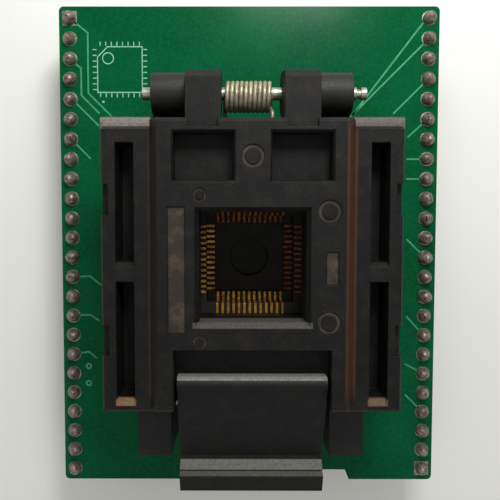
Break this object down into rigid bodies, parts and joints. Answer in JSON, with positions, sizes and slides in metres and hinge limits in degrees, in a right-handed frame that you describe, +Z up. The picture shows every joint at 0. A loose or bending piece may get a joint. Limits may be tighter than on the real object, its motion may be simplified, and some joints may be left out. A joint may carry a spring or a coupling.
{
  "type": "zif socket",
  "caption": "Clamshell zero insertion force socket for a quad flat pack on a two-board adapter with a dual in line pin plug; hinged sprung cover and finger latch.",
  "frame": {"origin": "centre of the plug's pin field, on the plane of the pin tips", "axes": "+X to the right across the pin rows, +Y towards the cover's hinge, +Z up out of the nest"},
  "size_m": [0.0484, 0.0614, 0.0284],
  "materials": {
    "board": "green solder mask over glass laminate, glossy",
    "moulding": "black glass-filled plastic, satin, a little dusty",
    "strip": "black pin strip plastic, satin",
    "pin_tin": "dull tinned square pins",
    "plug_pin": "thin gold plate, worn",
    "solder": "dull grey tin solder with flux stains",
    "contact": "gold-plated beryllium copper",
    "steel": "plain steel pin, lightly tarnished",
    "spring": "drawn spring wire, lightly tarnished"
  },
  "bodies": {
    "base": {"upper_board": "board", "lower_board": "board", "link_strip_left": "strip", "link_strip_right": "strip", "link_pins_left": "pin_tin", "link_pins_right": "pin_tin", "upper_solder": "solder", "lower_solder": "solder", "plug_strip_left": "strip", "plug_strip_right": "strip", "plug_pins_left": "plug_pin", "plug_pins_right": "plug_pin", "plug_solder": "solder", "socket_base": "moulding", "contact_carrier": "moulding", "contacts_back": "contact", "contacts_front": "contact", "contacts_left": "contact", "contacts_right": "contact", "contact_solder": "solder", "hinge_pin": "steel", "hinge_spring": "spring", "latch_pin": "steel", "latch_spring": "spring"},
    "cover": {"cover": "moulding"},
    "latch": {"latch": "moulding"}
  },
  "joints": [
    {"name": "cover_hinge", "type": "hinge", "parent": "base", "child": "cover", "pos_m": [0, 0.0176, 0.02244], "axis": [-1, 0, 0], "range_deg": [0, 95], "deforming": ["hinge_spring"]},
    {"name": "latch_hinge", "type": "hinge", "parent": "base", "child": "latch", "pos_m": [0, -0.018, 0.01794], "axis": [1, 0, 0], "range_deg": [0, 20], "stiffness_Nm_per_rad": 0.002, "springref_deg": -20.05, "deforming": ["latch_spring"]}
  ]
}
